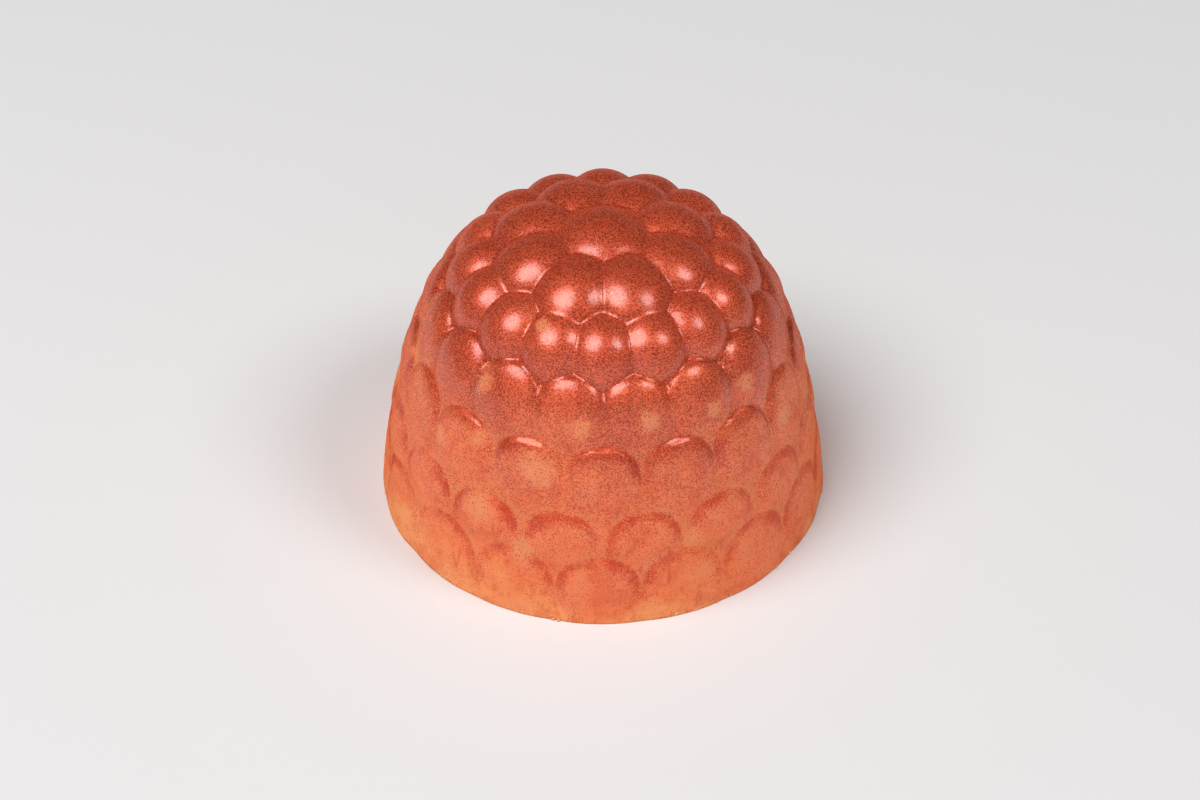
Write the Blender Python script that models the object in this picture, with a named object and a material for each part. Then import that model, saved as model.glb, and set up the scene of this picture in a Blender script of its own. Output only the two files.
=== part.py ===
"""A moulded chocolate praline in the shape of a berry: one solid, metres, +Z up, its flat foot on Z = 0.

A smooth dome carries seven rows of drupelets. The upper three rows are round balls that meet in creases. The lower
four are thin pads with a raised upper edge, and they sink back into the dome towards their lower end, because a
praline has to drop straight out of its mould.
"""

import math
from typing import NamedTuple

import bmesh
import bpy
import numpy as np

# The whole praline.
FOOT_RADIUS = 0.014
HEIGHT = 0.0204

# The dome that the crowns of the drupelets touch: a superellipse, narrower towards the top.
SHOULDER_HEIGHT_POWER = 2.41
SHOULDER_RADIUS_POWER = 4.45
TAPER = 0.118
# The crown swells a little above it. Shares of the foot's radius.
CROWN_RISE = 0.07
CROWN_RADIUS = 0.60


class Row(NamedTuple):
    """One ring of drupelets. The lengths are shares of the foot's radius."""

    count: int
    turn: float  # of a pitch, from the front
    along: float  # from the apex, down the dome, to the crowns
    half_width: float
    above: float  # from the crown to the upper edge
    below: float  # from the crown to the lower edge
    depth: float  # from the crown to the foot of the edge
    power: float  # 2 is a ball, and more is flatter with a steeper edge
    squareness: float  # of its outline: 2 is an ellipse, and more has fuller corners
    sinks: float  # slope of the lower half back into the dome


ROWS = (
    Row(1, 0.0, 0.00, 0.30, 0.30, 0.30, 0.20, 2.0, 2.0, 0.00),
    Row(8, 0.5, 0.37, 0.22, 0.25, 0.25, 0.14, 2.0, 2.0, 0.00),
    Row(16, 0.0, 0.675, 0.20, 0.24, 0.24, 0.16, 2.0, 2.0, 0.00),
    Row(16, 0.5, 1.00, 0.182, 0.205, 0.32, 0.06, 2.3, 2.1, 0.15),
    Row(16, 0.0, 1.310, 0.168, 0.190, 0.30, 0.034, 2.8, 2.5, 0.12),
    Row(16, 0.5, 1.635, 0.168, 0.185, 0.28, 0.028, 2.8, 2.5, 0.10),
    Row(16, -0.06, 1.88, 0.186, 0.215, 0.40, 0.024, 2.8, 2.5, 0.00),
)

# How far the bare dome between the drupelets lies under their crowns, at heights from the foot to the apex. The
# heights are shares of the whole height, and the rest are shares of the foot's radius.
BARE_LEVELS = (0.0, 0.12, 0.25, 0.50, 0.75, 1.0)
BARE_SUNK = (0.005, 0.011, 0.016, 0.022, 0.06, 0.14)
# How much the creases and the edges of the pads are rounded.
FILLET = 0.004

# The skin's mesh: points round the dome, a multiple of 32 so that one falls on each crown and crease, and rings.
AROUND = 96
RINGS = 50
OUTLINE_STEPS = 2000
SLOPE_STEP = 0.01
# Points deeper than this under a crown belong to the far side of the dome.
SAME_SIDE = 0.2


def dome_outline():
    """Arrays (along, radius, height) down the dome's outline, as shares of the foot's radius."""
    share = np.sin(np.linspace(math.pi / 2, 0, OUTLINE_STEPS))
    round_over = (1 - share**SHOULDER_HEIGHT_POWER) ** (1 / SHOULDER_RADIUS_POWER)
    radius = round_over * (1 - TAPER * share)
    swell = CROWN_RISE * (1 - (radius / CROWN_RADIUS).clip(0, 1) ** 2) ** 2
    height = share * (HEIGHT / FOOT_RADIUS - CROWN_RISE) + swell
    along = np.concatenate([[0], np.cumsum(np.hypot(np.diff(radius), np.diff(height)))])
    return along, radius, height


ALONG, RADIUS, LEVEL = dome_outline()


def on_dome(along, angle):
    """(points, outward, downward, sideways) on the dome, for arrays of places."""
    radius = np.interp(along, ALONG, RADIUS)
    level = np.interp(along, ALONG, LEVEL)
    before, after = along - SLOPE_STEP, along + SLOPE_STEP
    widens = np.interp(after, ALONG, RADIUS) - np.interp(before, ALONG, RADIUS)
    falls = np.interp(after, ALONG, LEVEL) - np.interp(before, ALONG, LEVEL)
    length = np.hypot(widens, falls)
    widens = widens / length
    falls = falls / length
    cos, sin = np.cos(angle), np.sin(angle)
    points = np.stack([radius * cos, radius * sin, level], -1)
    outward = np.stack([-falls * cos, -falls * sin, widens], -1)
    downward = np.stack([widens * cos, widens * sin, falls], -1)
    sideways = np.stack([-sin, cos, np.zeros_like(sin)], -1)
    return points, outward, downward, sideways


def face_of_drupelet(points, row, number):
    """(which points lie on one drupelet, how far its face there is from the dome)."""
    angle = math.tau * (number + row.turn) / row.count - math.pi / 2
    crown, outward, downward, sideways = on_dome(np.array([row.along]), np.array([angle]))
    off = points - crown
    down = off @ downward[0]
    across = off @ sideways[0]
    length = np.where(down < 0, row.above, row.below)
    reach = np.abs(across / row.half_width) ** row.squareness + np.abs(down / length) ** row.squareness
    reach = reach ** (1 / row.squareness)
    same_side = off @ outward[0] > -SAME_SIDE
    inside = (reach < 1) & same_side
    round_face = row.depth * ((1 - reach[inside] ** row.power) ** (1 / row.power) - 1)
    return inside, round_face - row.sinks * down[inside].clip(0, None)


def relief(points):
    """How far the praline's skin is from the dome at points of the dome. The highest face counts, rounded at creases."""
    bare = -np.interp(points[:, 2] * FOOT_RADIUS / HEIGHT, BARE_LEVELS, BARE_SUNK)
    total = np.exp(bare / FILLET)
    for row in ROWS:
        for number in range(row.count):
            inside, face = face_of_drupelet(points, row, number)
            total[inside] += np.exp(face / FILLET)
    return FILLET * np.log(total)


def skin_points():
    """The crown's point, then ring after ring down to the foot, in metres."""
    along = np.concatenate([[0], np.repeat(ALONG[-1] * np.arange(1, RINGS + 1) / RINGS, AROUND)])
    angle = np.concatenate([[0], np.tile(math.tau * np.arange(AROUND) / AROUND, RINGS)])
    points, outward, _, _ = on_dome(along, angle)
    outward[0] = (0, 0, 1)
    # The last ring stays on the foot's plane.
    outward[-AROUND:, 2] = 0
    return FOOT_RADIUS * (points + outward * relief(points)[:, None])


def skin():
    """Closed mesh of the praline, with a flat foot."""
    bm = bmesh.new()
    verts = [bm.verts.new(point) for point in skin_points()]
    crown, rings = verts[0], [verts[1 + i * AROUND : 1 + (i + 1) * AROUND] for i in range(RINGS)]
    for k in range(AROUND):
        bm.faces.new((crown, rings[0][k - 1], rings[0][k]))
    for upper, lower in zip(rings, rings[1:]):
        for k in range(AROUND):
            bm.faces.new((upper[k - 1], lower[k - 1], lower[k], upper[k]))
    bm.faces.new(reversed(rings[-1]))
    return bm


def shell_material():
    """Chocolate with a copper-red pearl colour sprayed on it."""
    material = bpy.data.materials.new("pearl_shell")
    material.use_nodes = True
    shader = material.node_tree.nodes["Principled BSDF"]
    shader.inputs["Base Color"].default_value = (0.58, 0.13, 0.06, 1)
    shader.inputs["Roughness"].default_value = 0.35
    shader.inputs["Metallic"].default_value = 0.3
    return material


def main():
    for obj in list(bpy.data.objects):
        bpy.data.objects.remove(obj)
    mesh = bpy.data.meshes.new("praline")
    bm = skin()
    bm.to_mesh(mesh)
    bm.free()
    mesh.shade_smooth()
    mesh.materials.append(shell_material())
    praline = bpy.data.objects.new("praline", mesh)
    bpy.context.scene.collection.objects.link(praline)


if __name__ == "__main__":
    main()
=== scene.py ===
import math

import bpy
import numpy as np
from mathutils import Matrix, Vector, noise


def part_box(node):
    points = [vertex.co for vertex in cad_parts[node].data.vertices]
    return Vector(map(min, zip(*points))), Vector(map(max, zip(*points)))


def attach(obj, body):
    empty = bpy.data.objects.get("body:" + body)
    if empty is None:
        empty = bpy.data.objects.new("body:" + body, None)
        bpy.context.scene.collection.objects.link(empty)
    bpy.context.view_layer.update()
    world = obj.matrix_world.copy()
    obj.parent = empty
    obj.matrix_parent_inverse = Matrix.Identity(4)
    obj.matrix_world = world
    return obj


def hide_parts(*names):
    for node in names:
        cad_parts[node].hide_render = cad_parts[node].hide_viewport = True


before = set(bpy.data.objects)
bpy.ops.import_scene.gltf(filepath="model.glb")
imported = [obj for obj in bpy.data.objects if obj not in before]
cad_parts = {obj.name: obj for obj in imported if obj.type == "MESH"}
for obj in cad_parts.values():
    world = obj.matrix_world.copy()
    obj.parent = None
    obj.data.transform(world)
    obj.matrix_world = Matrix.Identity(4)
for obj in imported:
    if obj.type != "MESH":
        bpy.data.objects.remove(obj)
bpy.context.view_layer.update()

# The praline: chocolate cast in a berry-shaped mould that was first sprayed with copper-red pearl colour.
# Its smooth dome carries seven rows of drupelets. The upper three are round balls that meet in creases, and
# the lower four are thin pads with a raised upper edge, so that the piece drops straight out of its mould.
foot_radius = 0.014
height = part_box("praline")[1].z

# The dome that the crowns of the drupelets touch: a superellipse, narrower towards the top and swollen a little at
# its crown.
shoulder_height_power = 2.41
shoulder_radius_power = 4.45
taper = 0.118
crown_rise = 0.07
crown_radius = 0.60

# Each row: count, turn of a pitch, distance down the dome, half width, reach above and below its crown, depth,
# power of its roundness, squareness of its outline, and the slope of its lower half into the dome. Lengths are
# shares of the foot's radius.
rows = (
    (1, 0.0, 0.00, 0.30, 0.30, 0.30, 0.20, 2.0, 2.0, 0.00),
    (8, 0.5, 0.37, 0.22, 0.25, 0.25, 0.14, 2.0, 2.0, 0.00),
    (16, 0.0, 0.675, 0.20, 0.24, 0.24, 0.16, 2.0, 2.0, 0.00),
    (16, 0.5, 1.00, 0.182, 0.205, 0.32, 0.06, 2.3, 2.1, 0.15),
    (16, 0.0, 1.310, 0.168, 0.190, 0.30, 0.034, 2.8, 2.5, 0.12),
    (16, 0.5, 1.635, 0.168, 0.185, 0.28, 0.028, 2.8, 2.5, 0.10),
    (16, -0.06, 1.88, 0.186, 0.215, 0.40, 0.024, 2.8, 2.5, 0.00),
)

# How far the bare dome between the drupelets lies under their crowns, at heights from the foot to the apex, and how
# much the creases and the edges of the pads are rounded.
bare_levels = (0.0, 0.12, 0.25, 0.50, 0.75, 1.0)
bare_sunk = (0.005, 0.011, 0.016, 0.022, 0.06, 0.14)
fillet = 0.004
slope_step = 0.01

# Points deeper than this under a crown belong to the far side of the dome.
far_side = 0.2

# A ball loses its lower half and is cut into fine faces, and its rim is closed as the flat foot.
bpy.ops.object.select_all(action="DESELECT")
bpy.ops.mesh.primitive_uv_sphere_add(segments=128, ring_count=96, radius=1)
praline = bpy.context.object
praline.name = "praline_shell"
under_foot = [v.co.z < -1e-4 for v in praline.data.vertices]
bpy.ops.object.mode_set(mode="EDIT")
bpy.ops.mesh.select_mode(type="VERT")
bpy.ops.mesh.select_all(action="DESELECT")
bpy.ops.object.mode_set(mode="OBJECT")
praline.data.vertices.foreach_set("select", under_foot)
bpy.ops.object.mode_set(mode="EDIT")
bpy.ops.mesh.delete(type="VERT")
bpy.ops.mesh.select_all(action="SELECT")
bpy.ops.mesh.subdivide(number_cuts=3)
bpy.ops.mesh.select_all(action="DESELECT")
bpy.ops.mesh.select_non_manifold()
bpy.ops.mesh.edge_face_add()
bpy.ops.object.mode_set(mode="OBJECT")

# The dome's outline, from the apex down to the foot.
share = np.sin(np.linspace(math.pi / 2, 0, 2000))
outline_radius = (1 - share**shoulder_height_power) ** (1 / shoulder_radius_power) * (1 - taper * share)
swell = crown_rise * (1 - (outline_radius / crown_radius).clip(0, 1) ** 2) ** 2
outline_level = share * (height / foot_radius - crown_rise) + swell
outline_along = np.hypot(np.diff(outline_radius), np.diff(outline_level)).cumsum()
outline_along = np.concatenate([[0], outline_along])


def on_dome(along, angle):
    """(points, outward, downward, sideways) at places on the dome."""
    radius = np.interp(along, outline_along, outline_radius)
    level = np.interp(along, outline_along, outline_level)
    before, after = along - slope_step, along + slope_step
    widens = np.interp(after, outline_along, outline_radius) - np.interp(before, outline_along, outline_radius)
    falls = np.interp(after, outline_along, outline_level) - np.interp(before, outline_along, outline_level)
    length = np.hypot(widens, falls)
    widens, falls = widens / length, falls / length
    cos, sin = np.cos(angle), np.sin(angle)
    points = np.stack([radius * cos, radius * sin, level], -1)
    outward = np.stack([-falls * cos, -falls * sin, widens], -1)
    downward = np.stack([widens * cos, widens * sin, falls], -1)
    sideways = np.stack([-sin, cos, np.zeros_like(sin)], -1)
    return points, outward, downward, sideways


def smooth(value, start, end):
    """0 at start and 1 at end, with soft ends."""
    share = ((value - start) / (end - start)).clip(0, 1)
    return share * share * (3 - 2 * share)


# The ball's points go onto the dome, and each drupelet's face is raised on it. The highest face counts.
shell = praline.data
ball = np.empty(len(shell.vertices) * 3, np.float32)
shell.vertices.foreach_get("co", ball)
ball = ball.reshape(-1, 3).astype(float)
flat = np.hypot(ball[:, 0], ball[:, 1])
along = np.arctan2(flat, ball[:, 2]) / (math.pi / 2) * outline_along[-1]
angle = np.arctan2(ball[:, 1], ball[:, 0])
points, outward, _, _ = on_dome(along, angle)
outward[along < 1e-3] = (0, 0, 1)
on_foot = ball[:, 2] < 1e-4
outward[on_foot, 2] = 0

bare = -np.interp(points[:, 2] * foot_radius / height, bare_levels, bare_sunk)
total = np.exp(bare / fillet)
bare_weight = total.copy()
highest = bare.copy()
second = np.full(len(points), -1.0)
upper = np.zeros(len(points))
gap = np.ones(len(points))
band = np.zeros(len(points))
tone = np.full(len(points), 0.5)
rng = np.random.default_rng(7)
for count, turn, row_along, half_width, above, below, depth, power, squareness, sinks in rows:
    for number in range(count):
        at = math.tau * (number + turn) / count - math.pi / 2
        crown, out, down, side = on_dome(np.array([row_along]), np.array([at]))
        off = points - crown
        down_by = off @ down[0]
        across = off @ side[0]
        reach = np.abs(across / half_width) ** squareness
        reach += np.abs(down_by / np.where(down_by < 0, above, below)) ** squareness
        reach **= 1 / squareness
        same_side = off @ out[0] > -far_side
        inside = (reach < 1) & same_side
        face = depth * ((1 - reach[inside] ** power) ** (1 / power) - 1)
        face -= sinks * down_by[inside].clip(0, None)
        total[inside] += np.exp(face / fillet)
        tint = rng.random()
        won = inside.copy()
        won[inside] = face > highest[inside]
        second[inside] = np.maximum(second[inside], np.minimum(face, highest[inside]))
        highest[inside] = np.maximum(highest[inside], face)
        tone[won] = tint
        if row_along > 0.9:
            near = same_side & (reach < 1.4)
            away = half_width * (reach[near] - 1)
            nearer = near.copy()
            nearer[near] = np.abs(away) < np.abs(gap[near])
            gap[nearer] = away[nearer[near]]
            upper[nearer] = (0.75 - down_by[nearer] / (2 * above)).clip(0, 1)
            arc = smooth(away, -0.065, -0.010) * smooth(away, 0.016, 0.0)
            arc *= smooth(down_by[near], 0.08, -0.10)
            band[near] = np.maximum(band[near], arc)
relief = fillet * np.log(total)
bare_weight /= total

# No casting is perfectly even: the skin swells and dips by a few hundredths of a millimetre.
unevenness = 0.0035
uneven = np.array([noise.noise(Vector(p) * 3.1) + 0.5 * noise.noise(Vector(p) * 7.7) for p in points])
place = foot_radius * (points + outward * (relief + unevenness * uneven)[:, None])
place[on_foot, 2] = 0
shell.vertices.foreach_set("co", place.astype(np.float32).ravel())
shell.update()
shell.shade_smooth()

# Spots where the spray missed the mould: degrees round from the front, distance down the dome, and radius.
missed_spots = (
    (-7, 1.02, 0.055), (14.5, 1.00, 0.05), (36, 1.03, 0.04), (-19, 1.25, 0.09),
    (-38, 1.19, 0.05), (-53, 1.30, 0.05), (-36, 1.53, 0.07), (-42, 0.93, 0.06),
    (-27, 0.60, 0.035), (50, 1.02, 0.05), (62, 1.30, 0.05), (84, 1.42, 0.06),
    (101, 1.02, 0.06), (128, 1.25, 0.07), (150, 0.94, 0.04), (171, 1.32, 0.08),
    (-168, 1.05, 0.05), (-141, 1.24, 0.07), (-118, 0.98, 0.05), (-97, 1.50, 0.06),
    (-80, 1.16, 0.06), (24, 1.62, 0.05), (-22, 1.66, 0.06), (140, 1.60, 0.06),
)
missed = np.zeros(len(points))
for degrees, spot_along, radius in missed_spots:
    centre = on_dome(np.array([spot_along]), np.array([math.radians(degrees - 90)]))[0]
    missed = np.maximum(missed, 1 - np.linalg.norm(points - centre, axis=1) / (1.6 * radius))

# What the colour follows: the distance from the nearest pad's outline and how far up the pad a point lies, the band
# inside each pad's upper edge, the bare dome, the creases, each drupelet's own tone, and the missed spots.
crease_width = 0.012
values = {
    "gap": gap,
    "upper": upper,
    "band": band,
    "bare": bare_weight,
    "crease": np.exp(-(highest - second) / crease_width),
    "tone": tone,
    "missed": missed.clip(0, 1),
}
for name, value in values.items():
    attribute = shell.attributes.new(name, "FLOAT", "POINT")
    attribute.data.foreach_set("value", value.astype(np.float32))

pearl = bpy.data.materials.new("pearl_shell")
pearl.use_nodes = True
nodes, links = pearl.node_tree.nodes, pearl.node_tree.links
shader = nodes["Principled BSDF"]
place_on = nodes.new("ShaderNodeTexCoord").outputs["Object"]


def attribute_value(name):
    node = nodes.new("ShaderNodeAttribute")
    node.attribute_name = name
    return node.outputs["Fac"]


def grain(scale, detail=2.0, roughness=0.5, at=None):
    node = nodes.new("ShaderNodeTexNoise")
    node.inputs["Scale"].default_value = scale
    node.inputs["Detail"].default_value = detail
    node.inputs["Roughness"].default_value = roughness
    links.new(at or place_on, node.inputs["Vector"])
    return node.outputs["Fac"]


def between(value, start, end, low=0.0, high=1.0):
    node = nodes.new("ShaderNodeMapRange")
    node.interpolation_type = "SMOOTHSTEP"
    links.new(value, node.inputs["Value"])
    for name, number in (("From Min", start), ("From Max", end), ("To Min", low), ("To Max", high)):
        node.inputs[name].default_value = number
    return node.outputs["Result"]


def math_of(operation, a, b):
    node = nodes.new("ShaderNodeMath")
    node.operation = operation
    for socket, value in zip(node.inputs, (a, b)):
        if isinstance(value, (int, float)):
            socket.default_value = value
        else:
            links.new(value, socket)
    return node.outputs[0]


def colour(red, green, blue):
    """A colour as seen, turned to the linear values that a shader takes."""
    def linear(value):
        value /= 255
        return value / 12.92 if value <= 0.04045 else ((value + 0.055) / 1.055) ** 2.4
    return (linear(red), linear(green), linear(blue), 1)


def mixed(amount, a, b):
    node = nodes.new("ShaderNodeMix")
    node.data_type = "RGBA"
    links.new(amount, node.inputs["Factor"])
    # Sockets 6 and 7 are its two colours, and socket 2 is the colour it gives.
    for socket, value in ((node.inputs[6], a), (node.inputs[7], b)):
        if isinstance(value, tuple):
            socket.default_value = value
        else:
            links.new(value, socket)
    return node.outputs[2]


def times(*factors):
    result = factors[0]
    for factor in factors[1:]:
        result = math_of("MULTIPLY", result, factor)
    return result


def rest_of(value):
    return math_of("SUBTRACT", 1.0, value)


def swing(value, amount):
    """A texture turned into a number that goes up and down about 0."""
    return times(math_of("SUBTRACT", value, 0.5), amount)


def along_cover(stops):
    """A colour that follows how thick the spray lies."""
    ramp = nodes.new("ShaderNodeValToRGB")
    links.new(cover, ramp.inputs["Fac"])
    ends = ramp.color_ramp.elements
    ends[0].position, ends[0].color = stops[0]
    ends[1].position, ends[1].color = stops[-1]
    for position, value in stops[1:-1]:
        ramp.color_ramp.elements.new(position).color = value
    return ramp.outputs["Color"]


def flecks(scale):
    """(a random number, distance from the middle) for each of many tiny cells."""
    node = nodes.new("ShaderNodeTexVoronoi")
    node.inputs["Scale"].default_value = scale
    links.new(place_on, node.inputs["Vector"])
    grey = nodes.new("ShaderNodeSeparateColor")
    links.new(node.outputs["Color"], grey.inputs[0])
    return grey.outputs[0], node.outputs["Distance"]


split = nodes.new("ShaderNodeSeparateXYZ")
links.new(place_on, split.inputs[0])
rise = split.outputs["Z"]

# The spray lies thickest on the crown and thins out towards the foot, in soft patches.
patches = grain(230, 3)
clouds = grain(900, 3, 0.6)
cover = math_of("ADD", times(rise, 1 / height), swing(patches, 0.55))
cover = math_of("ADD", cover, swing(attribute_value("tone"), 0.09))
look = along_cover((
    (0.00, colour(254, 158, 98)),
    (0.10, colour(248, 130, 80)),
    (0.30, colour(246, 130, 88)),
    (0.48, colour(246, 128, 84)),
    (0.66, colour(238, 107, 68)),
    (0.82, colour(226, 96, 66)),
    (1.00, colour(217, 90, 60)),
))
dark = along_cover((
    (0.00, colour(214, 70, 38)),
    (0.30, colour(200, 54, 28)),
    (0.48, colour(184, 44, 20)),
    (0.70, colour(138, 32, 10)),
    (1.00, colour(112, 24, 4)),
))

# Soft stains: a little more orange here and a little redder there.
stain = grain(620, 3, 0.6)
orange_stain = times(between(stain, 0.50, 0.68), between(cover, 0.3, 0.8, 0.40, 0.1))
red_stain = times(between(stain, 0.50, 0.34), between(cover, 0.3, 0.8, 0.40, 0.15))
look = mixed(orange_stain, look, colour(240, 142, 104))
look = mixed(red_stain, look, colour(218, 84, 56))

# A little paler where the dome between the pads was hardly reached by the spray.
low_part = between(rise, 0.50 * height, 0.72 * height, 1, 0)
from_outline = attribute_value("gap")
outer_line = times(between(from_outline, 0.0, 0.012), between(from_outline, 0.022, 0.05, 1, 0))
upper_edge = between(attribute_value("upper"), 0.25, 0.7)
pale_line = times(outer_line, low_part, between(clouds, 0.40, 0.62), upper_edge)
thin = times(between(attribute_value("bare"), 0.3, 0.9), low_part, between(clouds, 0.35, 0.65))
look = mixed(times(thin, 0.40), look, colour(232, 124, 72))
look = mixed(times(pale_line, 0.50), look, colour(232, 138, 86))

# Spots where it missed show the cream-coloured chocolate.
missed_mask = between(math_of("ADD", attribute_value("missed"), swing(clouds, 1.6)), 0.15, 0.75)
look = mixed(times(missed_mask, 0.50), look, colour(236, 154, 104))

# Red colour pooled in mottled bands along the edges of the lower pads, and run down in short streaks.
mottle = grain(7500, 4, 0.8)
arc_value = attribute_value("band")
uneven_edge = math_of("ADD", swing(mottle, 4.0), swing(clouds, 2.2))
ragged = between(math_of("ADD", times(arc_value, 1.05), uneven_edge), 0.40, 1.3)
pooled = times(ragged, low_part, between(patches, 0.34, 0.54), rest_of(missed_mask))
stretch = nodes.new("ShaderNodeMapping")
stretch.inputs["Scale"].default_value = (1, 1, 0.16)
links.new(place_on, stretch.inputs["Vector"])
run_down = grain(3200, 2, 0.6, at=stretch.outputs["Vector"])
near_foot = between(rise, 0.36 * height, 0.52 * height, 1, 0)
streaks = times(between(run_down, 0.56, 0.64), near_foot, between(grain(420, 2), 0.50, 0.62))
pooled = math_of("MAXIMUM", pooled, times(streaks, 0.55))
look = mixed(times(pooled, 0.70), look, colour(204, 56, 32))

# Fine dark flecks of the spray, denser on the crown, and fewer light ones.
fleck, from_middle = flecks(15500)
second_fleck, from_second = flecks(6500)
bare_here = math_of("MAXIMUM", missed_mask, times(pale_line, 0.8))
dense = math_of("ADD", between(cover, 0.05, 0.70, 0.18, 0.60), swing(clouds, 0.8))
dense = math_of("ADD", dense, times(arc_value, 0.35))
high_part = between(rise, 0.55 * height, 0.7 * height)
dense = math_of("ADD", dense, times(attribute_value("crease"), high_part, 0.18))
dense = times(dense, rest_of(times(bare_here, 0.6)))
small = between(math_of("SUBTRACT", dense, fleck), 0.0, 0.10)
small = times(small, between(from_middle, 0.35, 0.75, 1, 0))
large = between(math_of("SUBTRACT", times(dense, 0.30), second_fleck), 0.0, 0.05)
large = times(large, between(from_second, 0.2, 0.5, 1, 0))
look = mixed(times(small, 0.90), look, dark)
look = mixed(times(large, 0.30), look, dark)
light = times(between(fleck, 0.86, 0.90), between(from_middle, 0.2, 0.6, 1, 0))
look = mixed(times(light, 0.40), look, colour(246, 150, 96))

# Pinholes where tiny bubbles stood against the mould: each is dented by the bump, and its colour is darkened as
# painted shade inside the pit.
pin_chance, pin_middle = flecks(1150)
pinhole_dents_and_shade = times(between(pin_chance, 0.80, 0.82), between(pin_middle, 0.045, 0.075, 1, 0))
look = mixed(times(pinhole_dents_and_shade, 0.8), look, colour(96, 26, 18))
links.new(look, shader.inputs["Base Color"])

# The spray gives a satin skin, metallic where it lies thick, under a thin gloss from the polished mould.
facing = nodes.new("ShaderNodeLayerWeight").outputs["Facing"]
links.new(between(grain(900, 2), 0.3, 0.7, 0.42, 0.52), shader.inputs["Roughness"])
metal = times(between(cover, 0.20, 0.72, 0.05, 0.42), rest_of(missed_mask), between(facing, 0.45, 0.95, 1, 0.15))
links.new(metal, shader.inputs["Metallic"])
gloss = times(between(grain(700, 2), 0.3, 0.7, 0.7, 1.0), between(facing, 0.40, 0.90, 1, 0.08))
links.new(times(gloss, between(cover, 0.30, 0.70, 0.4, 1.0)), shader.inputs["Coat Weight"])
shader.inputs["Coat Roughness"].default_value = 0.235
shader.inputs["Coat IOR"].default_value = 1.55
shader.inputs["Specular IOR Level"].default_value = 0.0
shader.inputs["Subsurface Weight"].default_value = 0.12
shader.inputs["Subsurface Scale"].default_value = 0.0015

bump = nodes.new("ShaderNodeBump")
bump.inputs["Strength"].default_value = 0.15
bump.inputs["Distance"].default_value = 0.00003
dips = math_of("ADD", large, times(pinhole_dents_and_shade, 3.0))
links.new(math_of("SUBTRACT", times(grain(9000, 2), 0.7), dips), bump.inputs["Height"])
links.new(bump.outputs["Normal"], shader.inputs["Normal"])
links.new(bump.outputs["Normal"], shader.inputs["Coat Normal"])

shell.materials.clear()
shell.materials.append(pearl)
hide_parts("praline")
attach(praline, "root")

# Crumbs: tiny pale bits of chocolate left along the foot where the mould was scraped level, each a squashed lump.
rng = np.random.default_rng(11)
bpy.ops.object.select_all(action="DESELECT")
bpy.ops.mesh.primitive_ico_sphere_add(subdivisions=2, radius=1)
lump = bpy.context.object
for vertex in lump.data.vertices:
    vertex.co *= 1 + 0.35 * noise.noise(vertex.co * 1.7 + Vector((3, 1, 7)))
lump.data.shade_smooth()
lumps = [lump]
for _ in range(49):
    bpy.ops.object.select_all(action="DESELECT")
    lump.select_set(True)
    bpy.context.view_layer.objects.active = lump
    bpy.ops.object.duplicate()
    lumps.append(bpy.context.object)
for one in lumps:
    turned = rng.uniform(0, math.tau)
    size = 0.00003 + 0.00009 * rng.random() ** 2
    reach = foot_radius * (1 + rng.uniform(-0.004, 0.003))
    one.scale = Vector(rng.uniform(0.7, 1.4, 3)) * size
    one.rotation_euler = rng.uniform(0, math.tau, 3)
    one.location = (reach * math.cos(turned), reach * math.sin(turned), 1.5 * size)
bpy.ops.object.select_all(action="DESELECT")
for one in lumps:
    one.select_set(True)
bpy.context.view_layer.objects.active = lump
bpy.ops.object.join()
bpy.ops.object.transform_apply(location=True, rotation=True, scale=True)
lump.name = "foot_crumbs"
crumb = bpy.data.materials.new("crumb")
crumb.use_nodes = True
nodes, links = crumb.node_tree.nodes, crumb.node_tree.links
shader = nodes["Principled BSDF"]
place_on = nodes.new("ShaderNodeTexCoord").outputs["Object"]
pale = mixed(between(grain(1500, 2), 0.4, 0.6), colour(236, 160, 108), colour(240, 194, 150))
links.new(pale, shader.inputs["Base Color"])
shader.inputs["Roughness"].default_value = 0.6
lump.data.materials.clear()
lump.data.materials.append(crumb)
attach(lump, "root")

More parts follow.
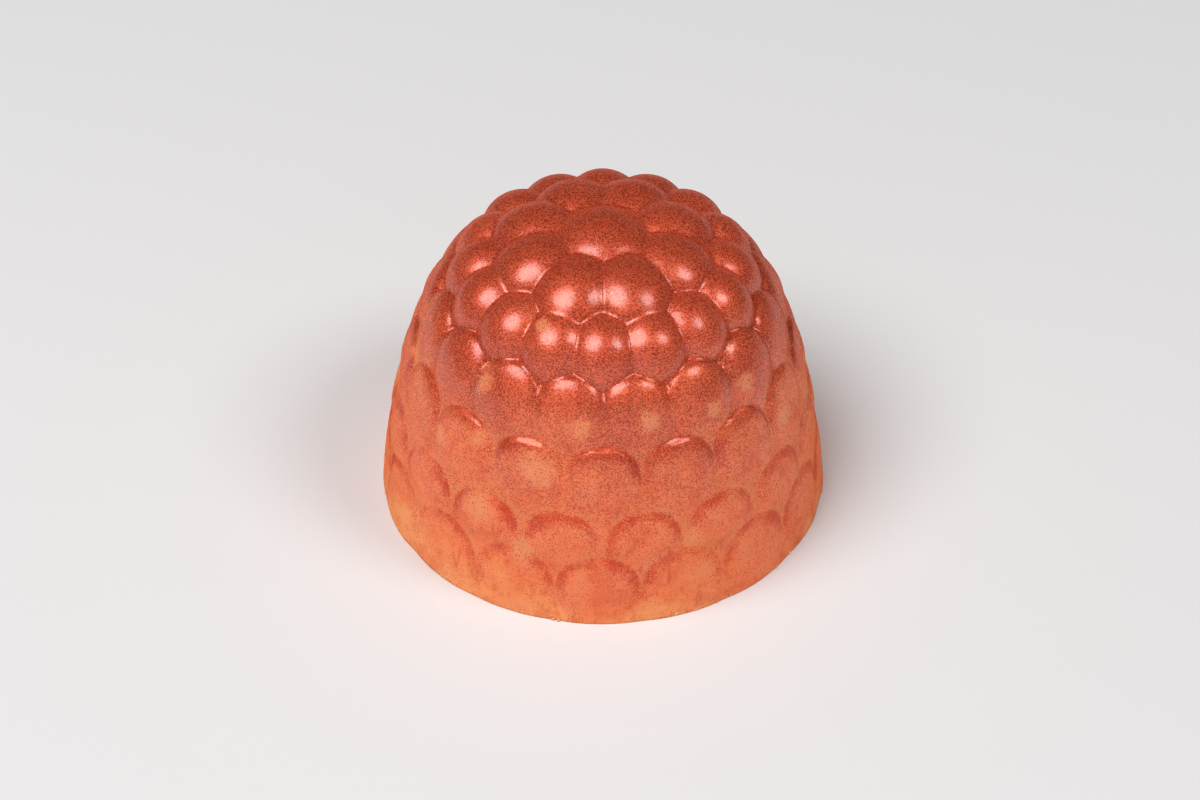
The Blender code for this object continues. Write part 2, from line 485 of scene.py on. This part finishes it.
# A plain pale floor.
bpy.ops.mesh.primitive_plane_add(size=3)
floor = bpy.context.object
floor.name = "floor"
floor_paint = bpy.data.materials.new("floor_paint")
floor_paint.use_nodes = True
shader = floor_paint.node_tree.nodes["Principled BSDF"]
shader.inputs["Base Color"].default_value = (0.80, 0.79, 0.79, 1)
shader.inputs["Roughness"].default_value = 0.8
floor.data.materials.append(floor_paint)

# Soft studio light: a room that is pale in front and dim at the back and the ceiling, a main lamp above on the left
# and a weaker one on the right.
world = bpy.data.worlds.new("room")
bpy.context.scene.world = world
world.use_nodes = True
nodes, links = world.node_tree.nodes, world.node_tree.links
direction = nodes.new("ShaderNodeSeparateXYZ")
links.new(nodes.new("ShaderNodeTexCoord").outputs["Generated"], direction.inputs[0])
walls = between(direction.outputs["Z"], 0.15, 0.60, 0.70, 0.15)
front = between(direction.outputs["Y"], -0.95, -0.2, 1.0, 0.15)
links.new(times(walls, front), nodes["Background"].inputs["Strength"])
nodes["Background"].inputs["Color"].default_value = (1, 1, 1, 1)
lamps = (
    ("main_lamp", -58, 62, 0.45, 0.31, 1.68),
    ("second_lamp", 68, 54, 0.45, 0.18, 0.66),
)
for name, turned, raised, distance, size, power in lamps:
    turned, raised = math.radians(turned), math.radians(raised)
    towards = Vector((math.sin(turned) * math.cos(raised), -math.cos(turned) * math.cos(raised), math.sin(raised)))
    bpy.ops.object.light_add(type="AREA", location=towards * distance)
    lamp = bpy.context.object
    lamp.name = name
    lamp.rotation_euler = (-towards).to_track_quat("-Z", "Y").to_euler()
    lamp.data.shape = "DISK"
    lamp.data.size = size
    lamp.data.energy = power

# The camera looks down at the front of the praline.
camera_down = math.radians(41.07)
camera_distance = 20 * foot_radius
aim = Vector((-0.0138 * foot_radius, 0.495 * foot_radius, 0))
looking = Vector((0, math.cos(camera_down), -math.sin(camera_down)))
bpy.ops.object.camera_add(location=aim - looking * camera_distance)
camera = bpy.context.object
camera.rotation_euler = looking.to_track_quat("-Z", "Y").to_euler()
camera.data.lens = 129.24
camera.data.sensor_width = 36
camera.data.clip_start = 0.01
camera.data.clip_end = 10
bpy.context.scene.camera = camera
bpy.context.scene.view_settings.view_transform = "Standard"
